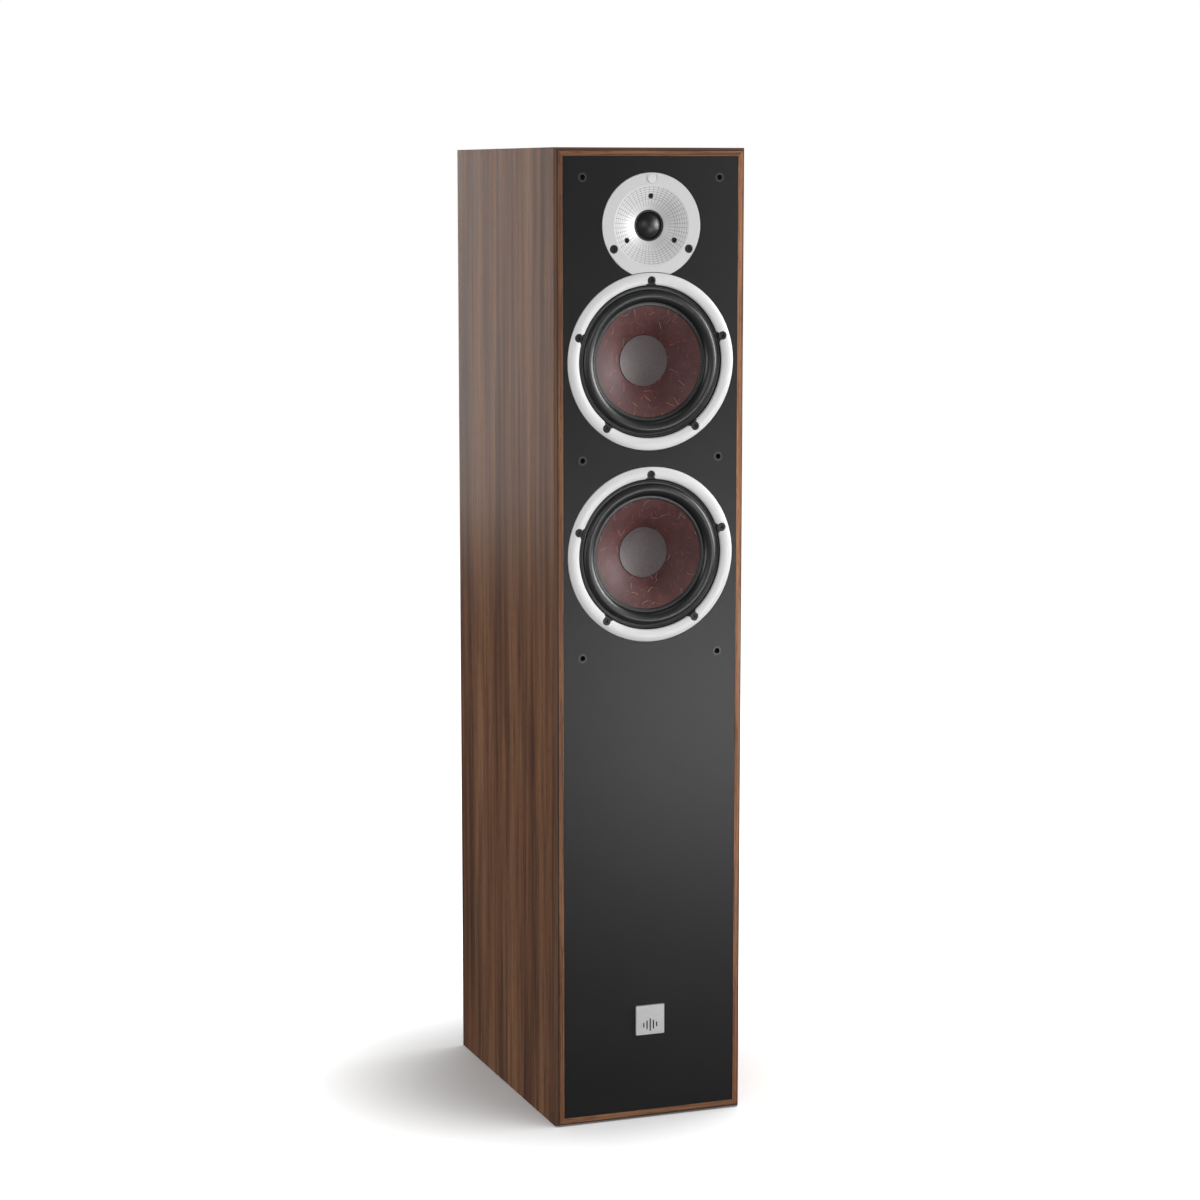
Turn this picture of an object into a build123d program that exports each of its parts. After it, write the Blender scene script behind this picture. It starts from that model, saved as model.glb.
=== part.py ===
from build123d import *

import os
from math import cos, pi, radians, sin, sqrt, tan

# Two-way floorstanding speaker with two woofers, in millimetres.
# +Z is up, the front faces -Y, and the origin is the middle of the base.
# "Depth" is how far something lies behind the plane of the front frame.

# ---------------------------------------------------------------- cabinet
WIDTH = 195
DEPTH = 300
HEIGHT = 952
WALL = 15
LIP = 8                      # what shows of a wall beside the baffle
BEVEL = 2.5                  # width of the bevel round the front edge
BEVEL_DEPTH = 5
GROOVE = 0.5                 # V-groove at the inner edge of the bevel
BAFFLE_THICK = 18
PANEL_GAP = 0.3              # round the baffle and the rear panel
BRACE_THICK = 15
BRACE_WINDOW = (105, 204)
BRACE_HEIGHTS = (200, 656)
INSERT_SPACING = (140, 240)  # floor-spike inserts in the base
INSERT_R = 5
INSERT_BORE_R = 3.4
INSERT_LENGTH = 12

# ---------------------------------------------------------------- woofers
WOOFERS = {"upper_woofer": 749, "lower_woofer": 563}
RING_R = 85
RING_BORE_R = 73.3
RING_PROUD = 1.2             # of the crown of the ring
WOOFER_SEAT = 6              # depth of the recess that the driver sits in
CUTOUT_R = 73.4
WOOFER_SCREW_CIRCLE = 77.5
SCREW_POCKET_R = 4.2
POCKET_MOUTH = (10.6, 6.2)   # widths of a pocket's mouth, at the ring's bore and at the pocket
SCREW_HEAD_R = 3.7
SCREW_SHANK_R = 2
FLANGE_DEPTH = 2             # front of the basket's flange
SURROUND_THICK = 0.9
SURROUND_R = 73
ROLL_OUTER_R = 68.5
ROLL_INNER_R = 57
CONE_R = 53.5
CAP_R = 24.5
CAP_DISH = 5                 # how far the middle of the dished cap lies behind its edge
CAP_THICK = 0.8
CONE_THICK = 1.1
COIL_R = 16.5                # bore of the voice coil's former
SPIDER_DEPTH = 34
TOP_PLATE_DEPTH = 46
MAGNET_DEPTH = 52
BACK_PLATE_DEPTH = 70
MOTOR_END = 76

# ---------------------------------------------------------------- tweeter
TWEETER_Z = 878.5
FACEPLATE_R = 50
FACEPLATE_SEAT = 3.5
FACEPLATE_PROUD = 0.5
THROAT_R = 15
TWEETER_CUTOUT_R = 37
OUTER_SCREW_CIRCLE = 44.2
INNER_SCREW_CIRCLE = 28
DOME_R = 12.5
DOME_EDGE = 8.9
DOME_HEIGHT = 5
TAB_WIDTH = 11.3

# ---------------------------------------------------------------- front fittings
SOCKET_X = 70
SOCKET_ROWS = (924, 656, 465)
SOCKET_R = 4.3
SOCKET_BORE_R = 2.7
BADGE = 30
BADGE_Z = 100
PROUD = 2                    # badge in front, port and terminal cup behind

# ---------------------------------------------------------------- rear fittings
PORT_Z = 420
PORT_R = 32
PORT_WALL = 2.5
PORT_LENGTH = 122
PORT_FLARE = 14
PORT_FLANGE_R = 52
PORT_HOLE_R = 48
CUP_Z = 150
CUP_FLANGE = (116, 90)
CUP_OPENING = (92, 66)
CUP_DEPTH = 28
CUP_WALL = 2.5
CUP_TAPER = 12
CUP_SCREWS = (104, 78)
POST_SPACING = 19.05
POST_R = 4
POST_BORE_R = 2
POST_FIT = 0.05              # radial clearance of cap and washer on the post
POST_CAP_R = 7
COLLAR_HEIGHT = 4
WASHER_HEIGHT = 1.2

# ---------------------------------------------------------------- crossover
BOARD_Z = 265
BOARD = (110, 100)
BOARD_THICK = 1.6
STANDOFF_HEIGHT = 10
STANDOFF_SPACING = (98, 88)
LEAD_R = 2

FRONT_Y = -DEPTH / 2
INSIDE = (WIDTH - 2 * WALL, DEPTH - 2 * BAFFLE_THICK)
PANEL_SIZE = (WIDTH - 2 * LIP - 2 * PANEL_GAP, HEIGHT - 2 * LIP - 2 * PANEL_GAP)
REAR_INSIDE = DEPTH - BAFFLE_THICK

os.makedirs("parts", exist_ok=True)


def save(piece, label):
    """Names a finished piece and writes it."""
    piece.part.label = label
    export_step(piece.part, f"parts/{label}.step")


def facing(depth):
    """A plane square to the front at a depth: its x is X, its y is Z, and it faces forwards."""
    return Plane(origin=(0, FRONT_Y + depth, 0), x_dir=(1, 0, 0), z_dir=(0, -1, 0))


def section(z, x=0):
    """A level plane through a driver's axis, where (x, y) reads as (radius, depth)."""
    return Plane(origin=(x, FRONT_Y, z))


def spin(profile, z, x=0, mode=Mode.ADD):
    """Turns a section about the front-to-back axis through (x, z)."""
    revolve(profile.sketch, axis=Axis((x, FRONT_Y, z), (0, 1, 0)), mode=mode)


def turned(outline, z, x=0, mode=Mode.ADD):
    """A turned piece from its half outline of (radius, depth) points."""
    with BuildSketch(section(z, x)) as profile:
        with BuildLine():
            Polyline(*outline, close=True)
        make_face()
    spin(profile, z, x, mode)


def turned_shell(arc, thickness, z):
    """A thin turned shell whose front runs along an arc through three (radius, depth) points."""
    with BuildSketch(section(z)) as profile:
        with BuildLine():
            front = ThreePointArc(*arc)
            back = ThreePointArc(*[(r, depth + thickness) for r, depth in arc])
            Line(front @ 0, back @ 0)
            Line(front @ 1, back @ 1)
        make_face()
    spin(profile, z)


def dome_arc(radius, edge, height):
    """Three points along a spherical cap, from its edge to its top. A negative height dishes it."""
    ball = (radius**2 + height**2) / (2 * abs(height))
    half = radius / 2
    rise = abs(height) - (ball - sqrt(ball**2 - half**2))
    forwards = 1 if height > 0 else -1
    return (radius, edge), (half, edge - forwards * rise), (0, edge - height)


def pegs(spots, radius, near, far, mode=Mode.ADD):
    """Round pegs at (x, z) spots, or holes with Mode.SUBTRACT, between two depths."""
    with BuildSketch(facing(far)) as profile:
        with Locations(*spots):
            Circle(radius)
    extrude(profile.sketch, amount=far - near, mode=mode)


def hexes(spots, radius, near, far, mode=Mode.ADD):
    """Hexagonal prisms or sockets at (x, z) spots, between two depths."""
    with BuildSketch(facing(far)) as profile:
        with Locations(*spots):
            RegularPolygon(radius, 6)
    extrude(profile.sketch, amount=far - near, mode=mode)


def around(count, radius, first_angle, z):
    """(x, z) points spread evenly round a circle."""
    angles = [radians(first_angle + 360 * i / count) for i in range(count)]
    return [(radius * cos(a), z + radius * sin(a)) for a in angles]


def corners(size, z):
    """The (x, z) corners of an upright rectangle."""
    return [(x * size[0] / 2, z + y * size[1] / 2) for x in (-1, 1) for y in (-1, 1)]


def screws(spots, head_r, shank_r, top, seat, tip, socket_r):
    """Socket-head screws: head from top to seat, shank from seat to tip."""
    pegs(spots, head_r, top, seat)
    pegs(spots, shank_r, seat, tip)
    hexes(spots, socket_r, top, top + 0.7 * (seat - top), mode=Mode.SUBTRACT)


# ================================================================ cabinet
# Wall board in section: x from the outer face inwards, y along the depth.
BOARD_SECTION = [
    (0, FRONT_Y + BEVEL_DEPTH),
    (BEVEL, FRONT_Y),
    (BEVEL + GROOVE / 2, FRONT_Y + GROOVE),
    (BEVEL + GROOVE, FRONT_Y),
    (LIP, FRONT_Y),
    (LIP, FRONT_Y + BAFFLE_THICK),
    (WALL, FRONT_Y + BAFFLE_THICK),
    (WALL, -FRONT_Y - BAFFLE_THICK),
    (LIP, -FRONT_Y - BAFFLE_THICK),
    (LIP, -FRONT_Y),
    (0, -FRONT_Y),
]


def wall_board(plane, length):
    """A wall of the cabinet, mitred at both ends. It runs along the plane's z."""
    with BuildSketch(plane) as profile:
        with BuildLine():
            Polyline(*BOARD_SECTION, close=True)
        make_face()
    extrude(profile.sketch, amount=length)
    far_end = plane.origin + plane.z_dir * length
    split(bisect_by=Plane(origin=plane.origin, z_dir=plane.z_dir - plane.x_dir))
    split(bisect_by=Plane(origin=far_end, z_dir=-plane.z_dir - plane.x_dir))


with BuildPart() as left_side:
    wall_board(Plane(origin=(-WIDTH / 2, 0, 0), x_dir=(1, 0, 0), z_dir=(0, 0, 1)), HEIGHT)
save(left_side, "left_side_panel")

with BuildPart() as right_side:
    wall_board(Plane(origin=(WIDTH / 2, 0, HEIGHT), x_dir=(-1, 0, 0), z_dir=(0, 0, -1)), HEIGHT)
save(right_side, "right_side_panel")

with BuildPart() as top:
    wall_board(Plane(origin=(-WIDTH / 2, 0, HEIGHT), x_dir=(0, 0, -1), z_dir=(1, 0, 0)), WIDTH)
save(top, "top_panel")

with BuildPart() as bottom:
    wall_board(Plane(origin=(WIDTH / 2, 0, 0), x_dir=(0, 0, 1), z_dir=(-1, 0, 0)), WIDTH)
    with BuildSketch(Plane.XY):
        with GridLocations(*INSERT_SPACING, 2, 2):
            Circle(INSERT_R + POST_FIT)
    extrude(amount=INSERT_LENGTH, mode=Mode.SUBTRACT)
save(bottom, "bottom_panel")

with BuildPart() as inserts:
    with BuildSketch(Plane.XY):
        with GridLocations(*INSERT_SPACING, 2, 2):
            Circle(INSERT_R)
            Circle(INSERT_BORE_R, mode=Mode.SUBTRACT)
    extrude(amount=INSERT_LENGTH)
save(inserts, "spike_inserts")

with BuildPart() as braces:
    for brace_z in BRACE_HEIGHTS:
        with BuildSketch(Plane.XY.offset(brace_z - BRACE_THICK / 2)):
            Rectangle(*INSIDE)
            RectangleRounded(*BRACE_WINDOW, 20, mode=Mode.SUBTRACT)
        extrude(amount=BRACE_THICK)
save(braces, "window_braces")

SOCKETS = [(x, z) for x in (-SOCKET_X, SOCKET_X) for z in SOCKET_ROWS]
SOCKET_LENGTH = 12
FACEPLATE_SCREWS = around(3, OUTER_SCREW_CIRCLE, 90, TWEETER_Z)

with BuildPart() as baffle:
    with BuildSketch(facing(BAFFLE_THICK)):
        with Locations((0, HEIGHT / 2)):
            Rectangle(*PANEL_SIZE)
    extrude(amount=BAFFLE_THICK)
    for z in WOOFERS.values():
        pegs([(0, z)], RING_R + 0.5, 0, WOOFER_SEAT, mode=Mode.SUBTRACT)
        pegs([(0, z)], CUTOUT_R, 0, BAFFLE_THICK, mode=Mode.SUBTRACT)
        bolts = around(5, WOOFER_SCREW_CIRCLE, 90, z)
        pegs(bolts, SCREW_SHANK_R + 0.1, WOOFER_SEAT, BAFFLE_THICK - 1, mode=Mode.SUBTRACT)
    pegs([(0, TWEETER_Z)], FACEPLATE_R + 0.3, 0, FACEPLATE_SEAT, mode=Mode.SUBTRACT)
    pegs([(0, TWEETER_Z)], TWEETER_CUTOUT_R, 0, BAFFLE_THICK, mode=Mode.SUBTRACT)
    pegs(FACEPLATE_SCREWS, SCREW_SHANK_R + 0.1, FACEPLATE_SEAT, BAFFLE_THICK - 2, mode=Mode.SUBTRACT)
    pegs(SOCKETS, SOCKET_R + POST_FIT, 0, SOCKET_LENGTH, mode=Mode.SUBTRACT)
save(baffle, "front_baffle")

with BuildPart() as rear:
    with BuildSketch(facing(DEPTH)):
        with Locations((0, HEIGHT / 2)):
            Rectangle(*PANEL_SIZE)
        with Locations((0, PORT_Z)):
            Circle(PORT_HOLE_R, mode=Mode.SUBTRACT)
        with Locations((0, CUP_Z)):
            RectangleRounded(CUP_OPENING[0] + 6, CUP_OPENING[1] + 6, 8, mode=Mode.SUBTRACT)
    extrude(amount=BAFFLE_THICK)
    pegs(corners(CUP_SCREWS, CUP_Z), 1.7, DEPTH - 15, DEPTH, mode=Mode.SUBTRACT)
    pegs(corners(STANDOFF_SPACING, BOARD_Z), 1.6, REAR_INSIDE, REAR_INSIDE + 6, mode=Mode.SUBTRACT)
save(rear, "rear_panel")

# ================================================================ front fittings
with BuildPart() as sockets:
    pegs(SOCKETS, SOCKET_R, 0, SOCKET_LENGTH)
    pegs(SOCKETS, SOCKET_BORE_R, 0, SOCKET_LENGTH - 2, mode=Mode.SUBTRACT)
save(sockets, "grille_sockets")

BARS = (5, 9, 13, 9, 5)      # heights of the plain mark engraved on the badge
BAR_PITCH = 3.4

with BuildPart() as badge:
    with BuildSketch(facing(0)):
        with Locations((0, BADGE_Z)):
            RectangleRounded(BADGE, BADGE, 0.8)
    extrude(amount=PROUD)
    chamfer(badge.faces().sort_by(Axis.Y)[0].edges(), 0.4)
    with BuildSketch(facing(-PROUD)) as mark:
        for i, bar in enumerate(BARS):
            with Locations(((i - 2) * BAR_PITCH, BADGE_Z - 5)):
                SlotOverall(bar, 1.4, rotation=90)
    extrude(mark.sketch, amount=-0.3, mode=Mode.SUBTRACT)
save(badge, "badge")


# ================================================================ woofers
def build_woofer(name, z):
    """All the pieces of one woofer, on the axis at height z."""
    bolts = around(5, WOOFER_SCREW_CIRCLE, 90, z)

    crown_outer = (RING_R - 0.3, -0.1)
    crown_top = ((RING_R + RING_BORE_R) / 2 + 0.4, -RING_PROUD)
    crown_inner = (RING_BORE_R + 1, -0.3)
    with BuildPart() as trim_ring:
        with BuildSketch(section(z)) as ring_section:
            with BuildLine():
                ThreePointArc(crown_outer, crown_top, crown_inner)
                Polyline(
                    crown_inner,
                    (RING_BORE_R, 0.7),
                    (RING_BORE_R, FLANGE_DEPTH),
                    (RING_R, FLANGE_DEPTH),
                    (RING_R, 0.2),
                    crown_outer,
                )
            make_face()
        spin(ring_section, z)
        cut_from = -RING_PROUD - 1
        pegs(bolts, SCREW_POCKET_R, cut_from, FLANGE_DEPTH, mode=Mode.SUBTRACT)
        # Each pocket opens to the bore through a mouth that widens inwards.
        wide, narrow = (width / 2 for width in POCKET_MOUTH)
        mouth = [(-2, wide), (0.4, wide), (2.2, narrow), (2.2, -narrow), (0.4, -wide), (-2, -wide)]
        with BuildSketch(facing(FLANGE_DEPTH)) as mouths:
            with Locations((0, z)):
                with PolarLocations(RING_BORE_R, 5, start_angle=90):
                    Polygon(*mouth, align=None)
        extrude(mouths.sketch, amount=FLANGE_DEPTH - cut_from, mode=Mode.SUBTRACT)
    save(trim_ring, f"{name}_trim_ring")

    with BuildPart() as bolt_set:
        screws(bolts, SCREW_HEAD_R, SCREW_SHANK_R, 0.2, FLANGE_DEPTH, BAFFLE_THICK - 2, 2)
    save(bolt_set, f"{name}_screws")

    with BuildPart() as basket:
        turned(
            [
                (RING_R - 0.5, FLANGE_DEPTH),
                (RING_BORE_R, FLANGE_DEPTH),
                (RING_BORE_R, 3),
                (69.8, 3),
                (69.8, 16),
                (45.5, SPIDER_DEPTH),
                (39, SPIDER_DEPTH),
                (39, SPIDER_DEPTH + 2.5),
                (43, SPIDER_DEPTH + 2.5),
                (43, TOP_PLATE_DEPTH - 2.5),
                (24, TOP_PLATE_DEPTH - 2.5),
                (24, TOP_PLATE_DEPTH),
                (46, TOP_PLATE_DEPTH),
                (46, SPIDER_DEPTH + 2),
                (72.3, 17.5),
                (72.3, 5),
                (RING_R - 0.5, 5),
            ],
            z,
        )
        pegs(bolts, SCREW_SHANK_R + 0.3, FLANGE_DEPTH, 5, mode=Mode.SUBTRACT)
        # Six windows between the legs.
        with BuildSketch(facing(40)):
            with Locations((0, z)):
                Circle(68)
                Circle(49, mode=Mode.SUBTRACT)
                with PolarLocations(58, 6, start_angle=0):
                    Rectangle(24, 16, mode=Mode.SUBTRACT)
        extrude(amount=30, mode=Mode.SUBTRACT)
    save(basket, f"{name}_basket")

    with BuildPart() as surround:
        turned_shell(
            ((ROLL_OUTER_R, 2.1), (62.6, -1.2), (ROLL_INNER_R, 4.3)), SURROUND_THICK, z
        )
        turned([(SURROUND_R, 2.1), (SURROUND_R, 3), (ROLL_OUTER_R, 3), (ROLL_OUTER_R, 2.1)], z)
        turned([(ROLL_INNER_R, 4.3), (ROLL_INNER_R, 5.2), (CONE_R, 5.2), (CONE_R, 4.3)], z)
    save(surround, f"{name}_surround")

    with BuildPart() as cone:
        turned_shell(((CONE_R, 5.2), (CAP_R, 20.8), (COIL_R + 0.5, 27.3)), CONE_THICK, z)
        turned(
            [
                (ROLL_INNER_R, 5.2),
                (ROLL_INNER_R, 5.2 + CONE_THICK),
                (CONE_R, 5.2 + CONE_THICK),
                (CONE_R, 5.2),
            ],
            z,
        )
    save(cone, f"{name}_cone")

    with BuildPart() as dust_cap:
        turned_shell(dome_arc(CAP_R, 19.9, -CAP_DISH), CAP_THICK, z)
    save(dust_cap, f"{name}_dust_cap")

    with BuildPart() as coil:
        turned(
            [
                (COIL_R, 26.5),
                (COIL_R + 0.4, 26.5),
                (COIL_R + 0.4, 43.5),
                (COIL_R + 1.6, 43.5),
                (COIL_R + 1.6, 55.5),
                (COIL_R + 0.4, 55.5),
                (COIL_R + 0.4, 57),
                (COIL_R, 57),
            ],
            z,
        )
    save(coil, f"{name}_voice_coil")

    # The spider's corrugations run between its neck and its flat rim.
    rim_front = SPIDER_DEPTH - 0.6
    folds = [(20 + 3 * i, rim_front + 1.2 * (-1) ** i) for i in range(6)]
    front_line = [(COIL_R + 0.5, rim_front), *folds, (38.5, rim_front), (43, rim_front)]
    back_line = [(r, depth + 0.6) for r, depth in reversed(front_line)]
    with BuildPart() as spider:
        turned(front_line + back_line, z)
    save(spider, f"{name}_spider")

    with BuildPart() as top_plate:
        turned(
            [
                (COIL_R + 2.1, TOP_PLATE_DEPTH),
                (40, TOP_PLATE_DEPTH),
                (40, MAGNET_DEPTH),
                (COIL_R + 2.1, MAGNET_DEPTH),
            ],
            z,
        )
    save(top_plate, f"{name}_top_plate")

    with BuildPart() as magnet:
        turned(
            [
                (22, MAGNET_DEPTH),
                (44.4, MAGNET_DEPTH),
                (45, MAGNET_DEPTH + 0.6),
                (45, BACK_PLATE_DEPTH - 0.6),
                (44.4, BACK_PLATE_DEPTH),
                (22, BACK_PLATE_DEPTH),
            ],
            z,
        )
    save(magnet, f"{name}_magnet")

    with BuildPart() as back_plate:
        turned(
            [
                (5, TOP_PLATE_DEPTH - 1),
                (COIL_R - 0.5, TOP_PLATE_DEPTH - 1),
                (COIL_R - 0.5, BACK_PLATE_DEPTH),
                (41, BACK_PLATE_DEPTH),
                (41, MOTOR_END - 1),
                (40, MOTOR_END),
                (5, MOTOR_END),
            ],
            z,
        )
    save(back_plate, f"{name}_back_plate")


for woofer, woofer_z in WOOFERS.items():
    build_woofer(woofer, woofer_z)

with BuildPart() as gaskets:
    for z in WOOFERS.values():
        with BuildSketch(facing(WOOFER_SEAT)) as seal:
            with Locations((0, z)):
                Circle(RING_R - 0.5)
                Circle(CUTOUT_R + 0.6, mode=Mode.SUBTRACT)
                with PolarLocations(WOOFER_SCREW_CIRCLE, 5, start_angle=90):
                    Circle(SCREW_SHANK_R + 0.3, mode=Mode.SUBTRACT)
        extrude(seal.sketch, amount=1)
save(gaskets, "driver_gaskets")

# ================================================================ tweeter
INNER_SCREWS = around(3, INNER_SCREW_CIRCLE, 90, TWEETER_Z)
HUB_DEPTH = 10
POLE_R = 11.7

with BuildPart() as faceplate:
    with BuildSketch(section(TWEETER_Z)) as plate_section:
        with BuildLine():
            ThreePointArc((38.5, -FACEPLATE_PROUD), (INNER_SCREW_CIRCLE, 1.8), (THROAT_R, 6.7))
            Polyline(
                (THROAT_R, 6.7),
                (THROAT_R, 7.4),
                (16.6, 7.4),
                (16.6, 9.3),
                (18.4, 9.3),
                (18.4, HUB_DEPTH),
                (32, HUB_DEPTH),
                (32, FACEPLATE_SEAT),
                (FACEPLATE_R, FACEPLATE_SEAT),
                (FACEPLATE_R, 0.4 - FACEPLATE_PROUD),
                (FACEPLATE_R - 0.4, -FACEPLATE_PROUD),
                (38.5, -FACEPLATE_PROUD),
            )
        make_face()
    spin(plate_section, TWEETER_Z)
    # Its lower edge gives way to the trim ring of the upper woofer.
    pegs([(0, WOOFERS["upper_woofer"])], RING_R + 0.6, -2, HUB_DEPTH, mode=Mode.SUBTRACT)
    pegs(FACEPLATE_SCREWS, SCREW_POCKET_R, -2, 2, mode=Mode.SUBTRACT)
    pegs(FACEPLATE_SCREWS, SCREW_SHANK_R + 0.2, 2, FACEPLATE_SEAT, mode=Mode.SUBTRACT)
    pegs(INNER_SCREWS, 2.7, -2, 4, mode=Mode.SUBTRACT)
    pegs(INNER_SCREWS, 1.6, 4, HUB_DEPTH, mode=Mode.SUBTRACT)
    # The round cap sits in a tab that a fine groove outlines.
    with BuildSketch(facing(0.35 - FACEPLATE_PROUD)) as groove:
        for width, mode in ((TAB_WIDTH, Mode.ADD), (TAB_WIDTH - 0.8, Mode.SUBTRACT)):
            with Locations((0, TWEETER_Z + 45.4)):
                Circle(width / 2, mode=mode)
            with Locations((0, TWEETER_Z + 49.4)):
                Rectangle(width, 8, mode=mode)
    extrude(groove.sketch, amount=1, mode=Mode.SUBTRACT)
save(faceplate, "tweeter_faceplate")

with BuildPart() as outer_screws:
    screws(FACEPLATE_SCREWS, SCREW_HEAD_R, SCREW_SHANK_R, 0.6, 2, 15, 2)
save(outer_screws, "tweeter_outer_screws")

with BuildPart() as screw_cap:
    turned(
        [(0, 0.4), (SCREW_POCKET_R, 0.4), (SCREW_POCKET_R, -0.7), (3.9, -1), (0, -1)],
        FACEPLATE_SCREWS[0][1],
    )
save(screw_cap, "tweeter_screw_cap")

with BuildPart() as inner_screws:
    screws(INNER_SCREWS, 2.4, 1.5, 2.6, 4, 12.5, 1.3)
save(inner_screws, "tweeter_inner_screws")

with BuildPart() as dome:
    turned_shell(dome_arc(DOME_R, DOME_EDGE - 0.5, DOME_HEIGHT), 0.5, TWEETER_Z)
save(dome, "tweeter_dome")

with BuildPart() as tweeter_coil:
    turned(
        [
            (DOME_R - 0.3, DOME_EDGE),
            (DOME_R, DOME_EDGE),
            (DOME_R, 10.4),
            (DOME_R + 0.3, 10.4),
            (DOME_R + 0.3, 12.8),
            (DOME_R, 12.8),
            (DOME_R, 14),
            (DOME_R - 0.3, 14),
        ],
        TWEETER_Z,
    )
save(tweeter_coil, "tweeter_voice_coil")

with BuildPart() as tweeter_surround:
    turned_shell(((DOME_R + 0.1, 8.4), (14.1, 7.3), (15.9, 8.9)), 0.5, TWEETER_Z)
    turned(
        [(15.9, 8.9), (15.9, 9.4), (16.2, HUB_DEPTH), (18, HUB_DEPTH), (18, 9.5), (16.4, 9.5)],
        TWEETER_Z,
    )
save(tweeter_surround, "tweeter_surround")

with BuildPart() as tweeter_top_plate:
    turned([(DOME_R + 0.8, HUB_DEPTH), (34, HUB_DEPTH), (34, 13), (DOME_R + 0.8, 13)], TWEETER_Z)
    pegs(INNER_SCREWS, 1.6, HUB_DEPTH, 13, mode=Mode.SUBTRACT)
save(tweeter_top_plate, "tweeter_top_plate")

with BuildPart() as tweeter_magnet:
    turned([(17, 13), (35.5, 13), (36, 13.5), (36, 23.5), (35.5, 24), (17, 24)], TWEETER_Z)
save(tweeter_magnet, "tweeter_magnet")

with BuildPart() as tweeter_back_plate:
    turned([(0, 9.6), (POLE_R, 9.6), (POLE_R, 24), (34, 24), (34, 28), (0, 28)], TWEETER_Z)
save(tweeter_back_plate, "tweeter_back_plate")

# ================================================================ rear fittings
REAR = DEPTH + PROUD
PORT_OUTER_R = PORT_R + PORT_WALL
INNER_FLARE = 6

with BuildPart() as port:
    with BuildSketch(section(PORT_Z)) as port_section:
        with BuildLine():
            inner_end = REAR - PORT_LENGTH
            JernArc((PORT_R + INNER_FLARE, inner_end), (-1, 0), INNER_FLARE, -90)
            Line((PORT_R, inner_end + INNER_FLARE), (PORT_R, REAR - PORT_FLARE))
            JernArc((PORT_R, REAR - PORT_FLARE), (0, 1), PORT_FLARE, -90)
            Polyline(
                (PORT_R + PORT_FLARE, REAR),
                (PORT_FLANGE_R - 0.5, REAR),
                (PORT_FLANGE_R, REAR - 0.5),
                (PORT_FLANGE_R, DEPTH),
                (PORT_HOLE_R - 0.5, DEPTH),
                (PORT_OUTER_R, REAR - PORT_FLARE),
                (PORT_OUTER_R, inner_end + INNER_FLARE),
                (PORT_R + INNER_FLARE, inner_end + PORT_WALL),
                (PORT_R + INNER_FLARE, inner_end),
            )
        make_face()
    spin(port_section, PORT_Z)
save(port, "reflex_port")

CUP_FLOOR = REAR - CUP_DEPTH
POSTS = [(-POST_SPACING / 2, CUP_Z), (POST_SPACING / 2, CUP_Z)]

with BuildPart() as cup:
    with BuildSketch(facing(REAR)):
        with Locations((0, CUP_Z)):
            RectangleRounded(*CUP_FLANGE, 9)
    extrude(amount=PROUD)
    with BuildSketch(facing(DEPTH)):
        with Locations((0, CUP_Z)):
            RectangleRounded(CUP_OPENING[0] + 4.5, CUP_OPENING[1] + 4.5, 7)
    extrude(amount=CUP_DEPTH - PROUD + CUP_WALL, taper=CUP_TAPER)
    with BuildSketch(facing(REAR)):
        with Locations((0, CUP_Z)):
            RectangleRounded(*CUP_OPENING, 6)
    extrude(amount=CUP_DEPTH, taper=CUP_TAPER, mode=Mode.SUBTRACT)
    pegs(POSTS, POST_R + POST_FIT, CUP_FLOOR - CUP_WALL, CUP_FLOOR, mode=Mode.SUBTRACT)
    pegs(corners(CUP_SCREWS, CUP_Z), 3.4, REAR - 1.2, REAR, mode=Mode.SUBTRACT)
    pegs(corners(CUP_SCREWS, CUP_Z), 1.8, DEPTH, REAR, mode=Mode.SUBTRACT)
save(cup, "terminal_cup")

with BuildPart() as cup_screws:
    pegs(corners(CUP_SCREWS, CUP_Z), 3.2, REAR - 1.2, REAR - 0.1)
    pegs(corners(CUP_SCREWS, CUP_Z), 1.6, DEPTH - 14, REAR - 1.2)
    with BuildSketch(facing(REAR)) as slots:
        with Locations(*corners(CUP_SCREWS, CUP_Z)):
            Rectangle(3.6, 0.8)
            Rectangle(0.8, 3.6)
    extrude(slots.sketch, amount=0.7, mode=Mode.SUBTRACT)
save(cup_screws, "terminal_cup_screws")

COLLAR_END = CUP_FLOOR + COLLAR_HEIGHT
WASHER_END = COLLAR_END + POST_FIT + WASHER_HEIGHT
CAP_START = WASHER_END + POST_FIT
POST_END = REAR - 5
POST_BORE_LENGTH = 14
WIRE_HOLE_DEPTH = COLLAR_END + WASHER_HEIGHT + 1.8

with BuildPart() as shafts:
    pegs(POSTS, POST_R, CUP_FLOOR - 14, POST_END)
    pegs(POSTS, POST_BORE_R, POST_END - POST_BORE_LENGTH, POST_END, mode=Mode.SUBTRACT)
    with BuildSketch(Plane.XY.offset(CUP_Z - POST_R - 1)):
        with Locations(*[(x, FRONT_Y + WIRE_HOLE_DEPTH) for x, _ in POSTS]):
            Circle(1.3)
    extrude(amount=2 * POST_R + 2, mode=Mode.SUBTRACT)
save(shafts, "terminal_post_shafts")

with BuildPart() as collars:
    pegs(POSTS, POST_CAP_R, CUP_FLOOR, COLLAR_END)
    pegs(POSTS, POST_R + POST_FIT, CUP_FLOOR, COLLAR_END, mode=Mode.SUBTRACT)
save(collars, "terminal_post_collars")

with BuildPart() as nuts:
    hexes(POSTS, 6, CUP_FLOOR - CUP_WALL - 4, CUP_FLOOR - CUP_WALL)
    pegs(POSTS, POST_R + POST_FIT, CUP_FLOOR - CUP_WALL - 4, CUP_FLOOR - CUP_WALL, mode=Mode.SUBTRACT)
save(nuts, "terminal_post_nuts")

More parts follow.
